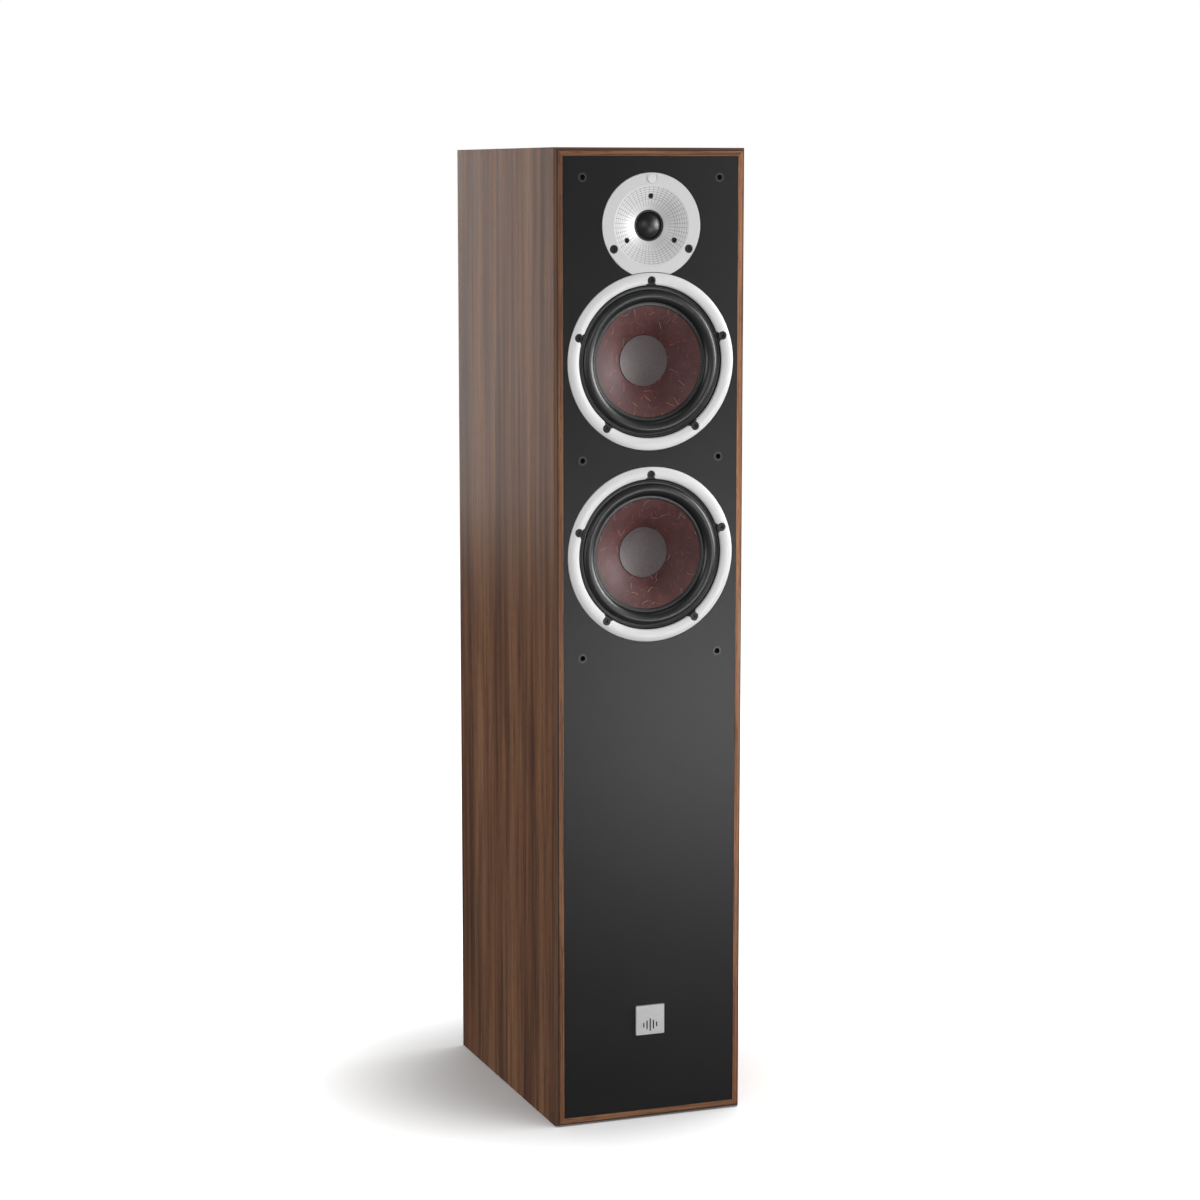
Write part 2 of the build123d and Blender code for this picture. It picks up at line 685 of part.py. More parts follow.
GRIP_FLUTES = 16
for colour, post in zip(("red", "black"), POSTS):
    with BuildPart() as washer:
        pegs([post], POST_CAP_R - 0.5, COLLAR_END + POST_FIT, WASHER_END)
        pegs([post], POST_R + POST_FIT, COLLAR_END + POST_FIT, WASHER_END, mode=Mode.SUBTRACT)
    save(washer, f"{colour}_post_washer")

    with BuildPart() as post_cap:
        pegs([post], POST_CAP_R, CAP_START, REAR - 4)
        chamfer(post_cap.faces().sort_by(Axis.Y)[-1].edges(), 0.8)
        pegs([post], POST_R + POST_FIT, CAP_START, REAR - 4, mode=Mode.SUBTRACT)
        with BuildSketch(facing(REAR - 6)) as flutes:
            with Locations(post):
                with PolarLocations(POST_CAP_R + 0.35, GRIP_FLUTES):
                    Circle(0.75)
        extrude(flutes.sketch, amount=REAR - 9 - CAP_START, mode=Mode.SUBTRACT)
    save(post_cap, f"{colour}_post_cap")

# ================================================================ crossover
BOARD_BACK = REAR_INSIDE - STANDOFF_HEIGHT
BOARD_FRONT = BOARD_BACK - BOARD_THICK
STANDOFFS = corners(STANDOFF_SPACING, BOARD_Z)

with BuildPart() as circuit_board:
    with BuildSketch(facing(BOARD_BACK)):
        with Locations((0, BOARD_Z)):
            RectangleRounded(*BOARD, 3)
    extrude(amount=BOARD_THICK)
    pegs(STANDOFFS, 1.6, BOARD_FRONT, BOARD_BACK, mode=Mode.SUBTRACT)
save(circuit_board, "crossover_board")

with BuildPart() as standoffs:
    pegs(STANDOFFS, 1.5, BOARD_FRONT, REAR_INSIDE + 5)
    pegs(STANDOFFS, 3.5, BOARD_BACK, REAR_INSIDE)
    pegs(STANDOFFS, 2.8, BOARD_FRONT - 1.8, BOARD_FRONT)
save(standoffs, "crossover_standoffs")

INDUCTORS = (((-30, 292), 19, 14), ((26, 295), 16, 12), ((-28, 244), 15, 12))
with BuildPart() as inductors:
    for spot, outer_r, coil_length in INDUCTORS:
        pegs([spot], outer_r, BOARD_FRONT - coil_length, BOARD_FRONT)
        pegs([spot], outer_r / 2, BOARD_FRONT - coil_length, BOARD_FRONT, mode=Mode.SUBTRACT)
save(inductors, "crossover_inductors")

CAPACITORS = ((22, 268, 7), (22, 250, 7.5), (24, 232, 6))
with BuildPart() as capacitors:
    for x, z, radius in CAPACITORS:
        plane = Plane(origin=(x - 14, FRONT_Y + BOARD_FRONT - radius - 0.1, z), z_dir=(1, 0, 0))
        with BuildSketch(plane) as can:
            Circle(radius)
        extrude(can.sketch, amount=30)
save(capacitors, "crossover_capacitors")

with BuildPart() as resistors:
    with BuildSketch(facing(BOARD_FRONT)) as blocks:
        with Locations((-2, 222), (0, 310)):
            RectangleRounded(9, 18, 1)
    extrude(blocks.sketch, amount=9)
save(resistors, "crossover_resistors")


# ================================================================ wiring and damping
def lead(points):
    """A two-core lead along straight runs joined by tangent arcs as large as the runs allow."""
    radii = []
    for before, at, after in zip(points, points[1:], points[2:]):
        run_in = Vector(*at) - Vector(*before)
        run_out = Vector(*after) - Vector(*at)
        half_turn = radians(run_in.get_angle(run_out)) / 2
        radii.append(0.45 * min(run_in.length, run_out.length) / tan(half_turn))
    with BuildLine() as route:
        FilletPolyline(*points, radius=radii)
    path = route.wire()
    with BuildSketch(Plane(origin=path @ 0, z_dir=path % 0)) as core:
        Circle(LEAD_R)
    sweep(core.sketch, path=path)
    print("lead: length", round(path.length), "radii", [round(r) for r in radii])
    return path.length


LEAD_ROUTES = {
    "lower_woofer": [
        (-52, 119.2, 290),
        (-53, 92, 298),
        (-58, 68, 332),
        (-63, 48, 378),
        (-62, 30, 420),
        (-64, 6, 462),
        (-62, -26, 500),
        (-63, -58, 530),
        (-60, -90, 551),
        (-58, -119.6, 562),
    ],
    "upper_woofer": [
        (-1, 119.2, 292),
        (-6, 92, 300),
        (-24, 72, 328),
        (-44, 58, 364),
        (-51, 56, 410),
        (-54, 52, 458),
        (-48, 40, 504),
        (-40, 34, 552),
        (-40, 28, 602),
        (-38, 18, 650),
        (-44, -8, 690),
        (-52, -44, 718),
        (-60, -82, 738),
        (-58, -119.6, 748),
    ],
    "tweeter": [
        (48, 119.2, 284),
        (49, 94, 302),
        (56, 74, 346),
        (58, 62, 394),
        (56, 56, 444),
        (50, 46, 492),
        (42, 40, 542),
        (39, 35, 592),
        (38, 28, 642),
        (40, 20, 692),
        (46, 4, 740),
        (46, -22, 784),
        (40, -52, 820),
        (32, -80, 848),
        (26, -101, 862),
        (24, -120.4, 868),
    ],
}

with BuildPart() as wiring:
    lengths = [lead(points) for points in LEAD_ROUTES.values()]
section_by_length = pi * LEAD_R**2 * sum(lengths)
print("wiring: volume", round(wiring.part.volume), "section x length", round(section_by_length))
save(wiring, "internal_wiring")

with BuildPart() as pads:
    for low_z, pad_height, near, far in ((878, 56, 74, 272), (17, 58, 26, 238)):
        with BuildSketch(Plane(origin=(0, FRONT_Y + (near + far) / 2, low_z))) as pad:
            RectangleRounded(150, far - near, 18)
        extrude(pad.sketch, amount=pad_height)
save(pads, "damping_pads")
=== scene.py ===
import math

import bmesh
import bpy
import numpy as np
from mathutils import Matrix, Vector, noise


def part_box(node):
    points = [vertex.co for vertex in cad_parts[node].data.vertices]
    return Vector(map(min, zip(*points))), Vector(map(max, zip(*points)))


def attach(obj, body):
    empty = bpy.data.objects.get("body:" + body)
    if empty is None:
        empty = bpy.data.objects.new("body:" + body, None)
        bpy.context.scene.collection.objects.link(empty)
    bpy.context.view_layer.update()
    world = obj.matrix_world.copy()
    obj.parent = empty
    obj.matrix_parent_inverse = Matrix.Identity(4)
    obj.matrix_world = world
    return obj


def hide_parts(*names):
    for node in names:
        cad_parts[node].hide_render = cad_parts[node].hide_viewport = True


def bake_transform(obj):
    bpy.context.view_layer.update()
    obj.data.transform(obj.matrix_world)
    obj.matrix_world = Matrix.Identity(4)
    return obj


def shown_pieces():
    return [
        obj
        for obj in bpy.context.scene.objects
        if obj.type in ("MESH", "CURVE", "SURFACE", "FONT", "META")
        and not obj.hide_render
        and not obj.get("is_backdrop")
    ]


# A floorstanding speaker: procedural finishes on its CAD pieces, finer soft parts, a pale studio.
# Metres, +Z up, the front faces -Y.

for name in ("Cube", "Light", "Camera"):
    if name in bpy.data.objects:
        bpy.data.objects.remove(bpy.data.objects[name])

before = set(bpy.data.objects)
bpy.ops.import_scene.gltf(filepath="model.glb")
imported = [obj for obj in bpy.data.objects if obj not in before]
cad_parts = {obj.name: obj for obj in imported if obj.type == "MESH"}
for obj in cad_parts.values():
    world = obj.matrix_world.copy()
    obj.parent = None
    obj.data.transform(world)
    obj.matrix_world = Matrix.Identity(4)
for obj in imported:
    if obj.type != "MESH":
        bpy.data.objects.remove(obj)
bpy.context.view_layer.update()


# ================================================================ sizes
def middle(node):
    """The middle of a CAD node's box."""
    low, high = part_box(node)
    return (low + high) / 2


MM = 0.001

HALF_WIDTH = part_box("right_side_panel")[1].x
HALF_HEIGHT = middle("front_baffle").z
BEVEL = 2.5 * MM             # width of the bevel round the cabinet's front
BEVEL_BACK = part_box("right_side_panel")[0].y + 5.2 * MM     # the front's finish ends here
BADGE_MARGIN = 2 * MM        # bare metal round the badge's engraved bars

TWEETER = middle("tweeter_dome")
RAYS = 48                    # of the printed grid round the tweeter's horn
GRID_INNER = 18.5 * MM
GRID_OUTER = 37.2 * MM
RAY_HALF_WIDTH = 0.21 * MM
RAY_DOT_PITCH = 1.1 * MM
CIRCLE_PITCH = 2.2 * MM
CIRCLES_FROM = 24 * MM       # nearer the horn the grid is rays alone
DOTS_BETWEEN_RAYS = 4        # of a circle

WOOFERS = {                  # each woofer, and the body that its cone moves with
    "upper_woofer": "upper_cone",
    "lower_woofer": "lower_cone",
}
WIRE_PITCH = 0.6 * MM        # of the coils' copper turns
RUBBER_THICK = 0.9 * MM
FLANGE_DEPTH = 3.3 * MM      # from the crest of the surround's roll back to its flange
BEAD = 0.3 * MM              # height of the bead moulded round the flange
ROLL_OUTER = 68.5 * MM
ROLL_INNER = 57 * MM
CONE_EDGE = 53.5 * MM
SPIDER_THICK = 0.5 * MM
SPIDER_FLAT = 38.5 * MM      # inner radius of the spider's glued rim, where its folds begin
SPIDER_NECK = 17 * MM
SPIDER_COLLAR = 1.5 * MM     # flat cloth between the folds and the neck
SPIDER_FOLDS = 6
FOLD_HEIGHT = 1.1 * MM
TWEETER_ROLL_OUTER = 15.9 * MM
TWEETER_ROLL_INNER = 12.6 * MM
TWEETER_CLOTH_THICK = 0.5 * MM

WADDING_ROUND = 18 * MM
WADDING_CUTS = 14            # across each side of a block
WADDING_LUMPS = ((3 * MM, 35), (1.5 * MM, 110))     # how deep, and how many to a metre

STUDIO = 30                  # from the middle of the studio to its edge
FLOOR_Z = -0.3 * MM
SHADE_FROM = 0.12            # the floor's glow rises between these distances from the middle: a painted shadow round the object, on top of the real shadow from the overhead light
SHADE_TO = 0.44


# ================================================================ finishes
def colour(red, green, blue):
    """A colour from its 0 to 255 screen values."""
    screen = [value / 255 for value in (red, green, blue)]
    linear = [((v + 0.055) / 1.055) ** 2.4 if v > 0.04045 else v / 12.92 for v in screen]
    return (*linear, 1)


class Finish:
    """A node material with short calls for the nodes that feed its shader."""

    def __init__(self, name, **inputs):
        self.material = bpy.data.materials.new(name)
        self.material.use_nodes = True
        self.tree = self.material.node_tree
        self.shader = next(n for n in self.tree.nodes if n.type == "BSDF_PRINCIPLED")
        self.place = self.add("ShaderNodeTexCoord").outputs["Object"]
        for socket, value in inputs.items():
            self.feed(socket.replace("_", " "), value)

    def add(self, kind, sockets=None, **settings):
        """A new node, its settings, and what goes into its sockets."""
        made = self.tree.nodes.new(kind)
        for key, value in settings.items():
            setattr(made, key, value)
        for key, value in (sockets or {}).items():
            self.join(made.inputs[key], value)
        return made

    def join(self, socket, value):
        """Links a socket to an output, or sets it to a value."""
        if isinstance(value, bpy.types.NodeSocket):
            self.tree.links.new(value, socket)
        else:
            socket.default_value = value

    def feed(self, socket, value):
        """Sets or links one of the shader's own sockets."""
        self.join(self.shader.inputs[socket], value)

    def calc(self, operation, *values):
        """The result of a sum on numbers."""
        return self.add("ShaderNodeMath", dict(enumerate(values)), operation=operation).outputs[0]

    def times(self, first, *others):
        """The product of two or more numbers."""
        for value in others:
            first = self.calc("MULTIPLY", first, value)
        return first

    def axes(self, vector=None):
        """The X, Y and Z of a vector, or of the place on the surface."""
        split = self.place if vector is None else vector
        return self.add("ShaderNodeSeparateXYZ", {0: split}).outputs

    def grey(self, value):
        """A grey from a number."""
        return self.add("ShaderNodeCombineColor", {0: value, 1: value, 2: value}).outputs[0]

    def noise(self, size, stretch=(1, 1, 1), detail=2, rough=0.5, seed=0):
        """Noise of a grain size in metres, drawn out along each axis by stretch."""
        scale = [1 / (size * s) for s in stretch]
        placed = self.add(
            "ShaderNodeMapping",
            {"Vector": self.place, "Location": (seed, seed, seed), "Scale": scale},
        )
        texture = self.add(
            "ShaderNodeTexNoise",
            {"Vector": placed.outputs[0], "Scale": 1, "Detail": detail, "Roughness": rough},
        )
        return texture.outputs[0]

    def span(self, value, low, high, to_low=0, to_high=1):
        """A value from low..high spread smoothly over another range."""
        sockets = {"Value": value, 1: low, 2: high, 3: to_low, 4: to_high}
        return self.add("ShaderNodeMapRange", sockets, interpolation_type="SMOOTHSTEP").outputs[0]

    def ramp(self, value, stops):
        """Colours at places along 0 to 1."""
        node = self.add("ShaderNodeValToRGB", {"Fac": value})
        marks = node.color_ramp.elements
        while len(marks) < len(stops):
            marks.new(0.5)
        for mark, (at, tint) in zip(marks, stops):
            mark.position = at
            mark.color = tint
        return node.outputs["Color"]

    def mix(self, share, first, second, blend="MIX"):
        """Two colours mixed."""
        node = self.add(
            "ShaderNodeMix", {0: share, 6: first, 7: second}, data_type="RGBA", blend_type=blend
        )
        return node.outputs[2]

    def bump(self, height, depth, strength=1.0):
        """Raises the surface by height times depth, in metres, on top of any bump there is."""
        sockets = {"Height": height, "Distance": depth, "Strength": strength}
        before = self.shader.inputs["Normal"].links
        if before:
            sockets["Normal"] = before[0].from_socket
        self.feed("Normal", self.add("ShaderNodeBump", sockets).outputs[0])

    def polar(self, centre):
        """Radius, and angle from -pi to pi, about a front-to-back axis."""
        offset = self.add(
            "ShaderNodeVectorMath", {0: self.place, 1: centre}, operation="SUBTRACT"
        ).outputs[0]
        x, _, z = self.axes(offset)
        radius = self.calc("SQRT", self.calc("ADD", self.times(x, x), self.times(z, z)))
        return radius, self.calc("ARCTAN2", z, x)

    def line(self, value, pitch, half_width):
        """1 on lines a pitch apart, and 0 between them."""
        turn = self.calc("DIVIDE", value, pitch)
        offset = self.calc("SUBTRACT", self.calc("FRACT", turn), 0.5)
        distance = self.times(self.calc("ABSOLUTE", offset), pitch)
        return self.span(distance, 0.6 * half_width, 1.4 * half_width, 1, 0)


def front_edge(finish, wood):
    """Painted sheen: greyer wood on the bevel round the front; painted shade: a dark line in the
    groove at its inner edge.
    """
    x, y, z = finish.axes()
    past_side = finish.calc("SUBTRACT", finish.calc("ABSOLUTE", x), HALF_WIDTH - BEVEL)
    past_end = finish.calc("ABSOLUTE", finish.calc("SUBTRACT", z, HALF_HEIGHT))
    past_end = finish.calc("SUBTRACT", past_end, HALF_HEIGHT - BEVEL)
    past = finish.calc("MAXIMUM", past_side, past_end)
    front = finish.calc("LESS_THAN", y, BEVEL_BACK)
    bevel = finish.times(front, finish.span(past, 0, 0.2 * MM))
    groove = finish.span(finish.calc("ABSOLUTE", past), 0.25 * MM, 0.55 * MM, 1, 0)
    # painted sheen: the bevel greyed as if catching light
    wood = finish.mix(finish.times(bevel, 0.5), wood, colour(80, 62, 52))
    # painted shade: a dark line in the groove at the bevel's inner edge
    return finish.mix(finish.times(front, groove, 0.75), wood, colour(34, 23, 18))


def walnut(name, along, lighter=1.0):
    """Oiled walnut veneer, grained along an axis: broad bands, streaks, fine lines and pores.

    lighter multiplies its ground colours; on the right side panel this is painted light, for the
    brighter light falling on that side.
    """
    finish = Finish(name, Specular_IOR_Level=0.22)

    def grain(size, length, **more):
        """Noise of a grain size across the veneer, and of a length along it."""
        stretch = [length / size if axis == along else 1 for axis in "XYZ"]
        return finish.noise(size, stretch, **more)

    bands = grain(0.045, 1.1, detail=1, seed=3.1)
    streaks = grain(0.011, 0.36, detail=3, rough=0.62, seed=7.7)
    lines = grain(0.0021, 0.11, detail=3, rough=0.65, seed=1.3)
    pores = grain(0.0008, 0.014, detail=2, seed=5.9)
    knots = grain(0.016, 0.6, detail=2, seed=11.2)
    tone = finish.times(bands, 0.34)
    tone = finish.calc("MULTIPLY_ADD", streaks, 0.32, tone)
    tone = finish.calc("MULTIPLY_ADD", lines, 0.34, tone)
    shades = [
        (0.38, colour(64, 38, 26)),
        (0.45, colour(88, 56, 38)),
        (0.50, colour(107, 71, 48)),
        (0.55, colour(122, 84, 58)),
        (0.62, colour(138, 99, 71)),
    ]
    wood = finish.ramp(tone, [(at, (*[c * lighter for c in tint[:3]], 1)) for at, tint in shades])
    dark_streak = finish.span(knots, 0.60, 0.69)
    wood = finish.mix(finish.times(dark_streak, 0.5), wood, colour(46, 28, 20))
    dark_lines = finish.span(lines, 0.37, 0.43, 1, 0)
    wood = finish.mix(finish.times(dark_lines, 0.30), wood, colour(52, 32, 22))
    open_pores = finish.span(pores, 0.54, 0.68)
    wood = finish.mix(finish.times(open_pores, 0.45), wood, colour(40, 24, 16))
    finish.feed("Base Color", front_edge(finish, wood))
    finish.feed("Roughness", finish.span(lines, 0.3, 0.7, 0.40, 0.52))
    finish.bump(open_pores, -0.00008, 0.6)
    finish.bump(lines, 0.00006, 0.5)
    return finish.material


def grained(name, tint, size, depth, roughness=0.5, spread=0.12, wear=0.06, **inputs):
    """A moulded, cast or painted surface: one colour with cloudy variation and a fine grain."""
    finish = Finish(name, **inputs)
    clouds = finish.noise(0.03, detail=2)
    fine = finish.noise(size, detail=3, rough=0.6)
    low = tuple(c * (1 - spread) for c in tint[:3])
    high = tuple(min(c * (1 + spread), 1) for c in tint[:3])
    base = finish.ramp(clouds, [(0.3, (*low, 1)), (0.7, (*high, 1))])
    shade = finish.span(fine, 0.35, 0.65, 1 - wear, 1)
    finish.feed("Base Color", finish.mix(1.0, base, finish.grey(shade), "MULTIPLY"))
    finish.feed("Roughness", finish.span(fine, 0.3, 0.7, roughness - 0.05, roughness + 0.05))
    finish.bump(fine, depth)
    return finish.material


def brushed(name, tint, along, roughness, marks=None):
    """Metal brushed along an axis; a function given as marks paints over its colour."""
    finish = Finish(name, Metallic=0.7)
    stretch = [40 if axis == along else 1 for axis in "XYZ"]
    strokes = finish.noise(0.00025, stretch, detail=3, rough=0.7)
    dark = (*[c * 0.8 for c in tint[:3]], 1)
    metal = finish.ramp(strokes, [(0.3, dark), (0.7, tint)])
    finish.feed("Base Color", marks(finish, metal) if marks else metal)
    finish.feed("Roughness", finish.span(strokes, 0.3, 0.7, roughness - 0.08, roughness + 0.1))
    finish.bump(strokes, 0.00002, 0.5)
    return finish.material


def filled_bars(finish, metal):
    """Dark paint in the bars engraved in the badge's face."""
    low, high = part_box("badge")
    x, y, z = finish.axes()
    sunk = finish.span(y, low.y + 0.05 * MM, low.y + 0.25 * MM)
    aside = finish.calc("ABSOLUTE", x)
    inside = finish.calc("LESS_THAN", aside, (high.x - low.x) / 2 - BADGE_MARGIN)
    height = finish.calc("ABSOLUTE", finish.calc("SUBTRACT", z, (low.z + high.z) / 2))
    within = finish.calc("LESS_THAN", height, (high.z - low.z) / 2 - BADGE_MARGIN)
    return finish.mix(finish.times(sunk, inside, within), metal, colour(44, 44, 45))


def woven(name, tint, pitch, depth, roughness):
    """Cloth woven square to the front, its threads a pitch apart, coated and slightly uneven."""
    finish = Finish(name)
    x, _, z = finish.axes()
    waves = [finish.calc("SINE", finish.times(a, 2 * math.pi / pitch)) for a in (x, z)]
    weave = finish.times(*waves)
    uneven = finish.noise(4 * pitch, detail=3, rough=0.6)
    height = finish.calc("MULTIPLY_ADD", weave, 0.35, uneven)
    # painted shade: the cloth darker where the weave dips between threads; the noise adds uneven
    # tone
    dark = (*[c * 0.72 for c in tint[:3]], 1)
    light = (*[min(c * 1.16, 1) for c in tint[:3]], 1)
    finish.feed("Base Color", finish.ramp(height, [(0.1, dark), (0.85, light)]))
    finish.feed("Roughness", finish.span(height, 0, 1, roughness - 0.06, roughness + 0.06))
    finish.bump(height, depth)
    return finish.material


def fibres(finish, pitch, length, width, share, seed):
    """Short curved fibres, one to a cell at most: 1 on a fibre, 0 elsewhere."""
    placed = finish.add(
        "ShaderNodeMapping",
        {
            "Vector": finish.place,
            "Location": (seed, 0, 2 * seed),
            "Scale": (1 / pitch, 0, 1 / pitch),
        },
    ).outputs[0]
    cells = finish.add("ShaderNodeTexVoronoi", {"Vector": placed, "Scale": 1}).outputs
    chance = finish.add("ShaderNodeSeparateColor", {0: cells["Color"]}).outputs
    local = finish.add(
        "ShaderNodeVectorMath", {0: placed, 1: cells["Position"]}, operation="SUBTRACT"
    ).outputs[0]
    turned = finish.add(
        "ShaderNodeVectorRotate",
        {"Vector": local, "Angle": finish.times(chance[0], 2 * math.pi)},
        rotation_type="Y_AXIS",
    ).outputs[0]
    x, _, z = finish.axes(turned)
    bend = finish.calc("MULTIPLY_ADD", chance[1], 2.4, -1.2)
    side = finish.calc("ABSOLUTE", finish.calc("SUBTRACT", z, finish.times(x, x, bend)))
    across = finish.span(side, 0.25 * width / pitch, 0.6 * width / pitch, 1, 0)
    reach = length / pitch / 2
    ends = finish.span(finish.calc("ABSOLUTE", x), 0.8 * reach, reach, 1, 0)
    there = finish.calc("LESS_THAN", chance[2], share)
    return finish.times(across, ends, there)


def fibre_cone():
    """Reddish-brown paper pulp with pale wood fibres pressed into it."""
    finish = Finish("fibre cone pulp", Specular_IOR_Level=0.3)
    clouds = finish.noise(0.02, detail=3, rough=0.6)
    pulp = finish.noise(0.0011, detail=3, rough=0.7)
    base = finish.ramp(clouds, [(0.35, colour(70, 41, 41)), (0.65, colour(86, 53, 52))])
    base = finish.mix(finish.span(pulp, 0.4, 0.75, 0, 0.25), base, colour(110, 70, 66))
    bold = fibres(finish, 0.0140, 0.0085, 0.00044, 0.55, 3.3)
    faint = fibres(finish, 0.0080, 0.0055, 0.00034, 0.50, 8.6)
    red = fibres(finish, 0.0105, 0.0070, 0.00050, 0.45, 5.1)
    base = finish.mix(finish.times(red, 0.45), base, colour(150, 84, 84))
    base = finish.mix(finish.times(faint, 0.40), base, colour(160, 118, 112))
    base = finish.mix(finish.times(bold, 0.55), base, colour(190, 148, 140))
    finish.feed("Base Color", base)
    finish.feed("Roughness", finish.span(pulp, 0.3, 0.7, 0.46, 0.58))
    finish.bump(pulp, 0.00010)
    finish.bump(finish.calc("ADD", bold, faint), 0.00012)
    return finish.material


def baffle_foil():
    """Satin black foil with a very fine texture."""
    finish = Finish("satin black foil", Specular_IOR_Level=0.3)
    fine = finish.noise(0.0005, detail=2, rough=0.6)
    clouds = finish.noise(0.08, detail=1)
    base = finish.ramp(clouds, [(0.3, colour(10, 10, 11)), (0.7, colour(13, 13, 14))])
    finish.feed("Base Color", base)
    finish.feed("Roughness", finish.span(fine, 0.3, 0.7, 0.31, 0.37))
    finish.bump(fine, 0.00003)
    return finish.material


def faceplate_paint():
    """Silver paint with a printed grid of fine dotted rays and circles round the tweeter's horn."""
    finish = Finish("silver paint with grid", Metallic=0.08, Specular_IOR_Level=0.4)
    radius, angle = finish.polar(TWEETER)
    between_rays = 2 * math.pi / RAYS
    turn = finish.calc("FRACT", finish.calc("DIVIDE", angle, between_rays))
    aside = finish.calc("ABSOLUTE", finish.calc("SUBTRACT", turn, 0.5))
    aside = finish.times(aside, radius, between_rays)
    rays = finish.span(aside, RAY_HALF_WIDTH - 0.09 * MM, RAY_HALF_WIDTH + 0.09 * MM, 1, 0)
    dots = finish.line(radius, RAY_DOT_PITCH, 0.40 * MM)
    rays = finish.times(rays, finish.calc("MULTIPLY_ADD", dots, 0.5, 0.5))
    circles = finish.line(radius, CIRCLE_PITCH, 0.20 * MM)
    beads = finish.line(angle, between_rays / DOTS_BETWEEN_RAYS, 0.011)
    beads = finish.calc("MULTIPLY_ADD", beads, 0.5, 0.5)
    begun = finish.span(radius, CIRCLES_FROM - MM, CIRCLES_FROM + MM)
    grid = finish.calc("MAXIMUM", rays, finish.times(circles, beads, begun))
    past_horn = finish.span(radius, GRID_INNER, GRID_INNER + MM)
    before_rim = finish.span(radius, GRID_OUTER, GRID_OUTER + 0.5 * MM, 1, 0)
    grid = finish.times(grid, past_horn, before_rim)
    fine = finish.noise(0.0004, detail=2)
    paint = finish.ramp(fine, [(0.35, colour(198, 198, 198)), (0.65, colour(207, 207, 207))])
    finish.feed("Base Color", finish.mix(finish.times(grid, 0.75), paint, colour(84, 84, 84)))
    finish.feed("Roughness", finish.span(fine, 0.3, 0.7, 0.34, 0.42))
    finish.bump(fine, 0.00002)
    finish.bump(grid, -0.00008)
    return finish.material


def wound_wire():
    """Enamelled copper wire in close turns."""
    finish = Finish("copper windings", Metallic=0.9)
    turns = finish.calc("SINE", finish.times(finish.axes()[1], math.pi / WIRE_PITCH))
    turns = finish.calc("ABSOLUTE", turns)
    tarnish = finish.noise(0.004, detail=3)
    copper = finish.ramp(tarnish, [(0.3, colour(170, 92, 56)), (0.7, colour(204, 120, 76))])
    # painted shade: the copper darker between the turns
    shade = finish.span(turns, 0, 0.6, 0.5, 1)
    finish.feed("Base Color", finish.mix(1.0, copper, finish.grey(shade), "MULTIPLY"))
    finish.feed("Roughness", finish.span(tarnish, 0.3, 0.7, 0.28, 0.42))
    finish.bump(turns, 0.00015)
    return finish.material


def chipboard():
    """Raw wood-fibre board."""
    finish = Finish("raw fibre board", Specular_IOR_Level=0.2)
    chips = finish.noise(0.0016, detail=4, rough=0.7)
    shades = [
        (0.3, colour(132, 104, 74)),
        (0.5, colour(168, 138, 102)),
        (0.7, colour(190, 164, 128)),
    ]
    finish.feed("Base Color", finish.ramp(chips, shades))
    finish.feed("Roughness", finish.span(chips, 0.3, 0.7, 0.75, 0.9))
    finish.bump(chips, 0.0002)
    return finish.material


def circuit_board():
    """Green solder mask with copper tracks."""
    finish = Finish("green circuit board")
    x, _, z = finish.axes()
    upright = finish.line(x, 0.011, 0.0009)
    level = finish.line(z, 0.013, 0.0009)
    patches = finish.span(finish.noise(0.02, detail=0), 0.48, 0.52)
    tracks = finish.times(finish.calc("MAXIMUM", upright, level), patches)
    finish.feed("Base Color", finish.mix(tracks, colour(22, 70, 42), colour(40, 104, 62)))
    finish.feed("Roughness", finish.span(tracks, 0, 1, 0.4, 0.32))
    finish.bump(tracks, 0.00004)
    return finish.material


def fleece():
    """White polyester wadding."""
    finish = Finish("polyester wadding", Sheen_Weight=0.4, Specular_IOR_Level=0.1)
    strands = finish.noise(0.0012, (3, 3, 1), detail=5, rough=0.8)
    clumps = finish.noise(0.012, detail=3)
    base = finish.ramp(strands, [(0.3, colour(172, 172, 166)), (0.6, colour(226, 226, 220))])
    finish.feed("Base Color", base)
    finish.feed("Roughness", finish.span(clumps, 0.3, 0.7, 0.85, 0.98))
    finish.bump(clumps, 0.003)
    finish.bump(strands, 0.0006)
    return finish.material


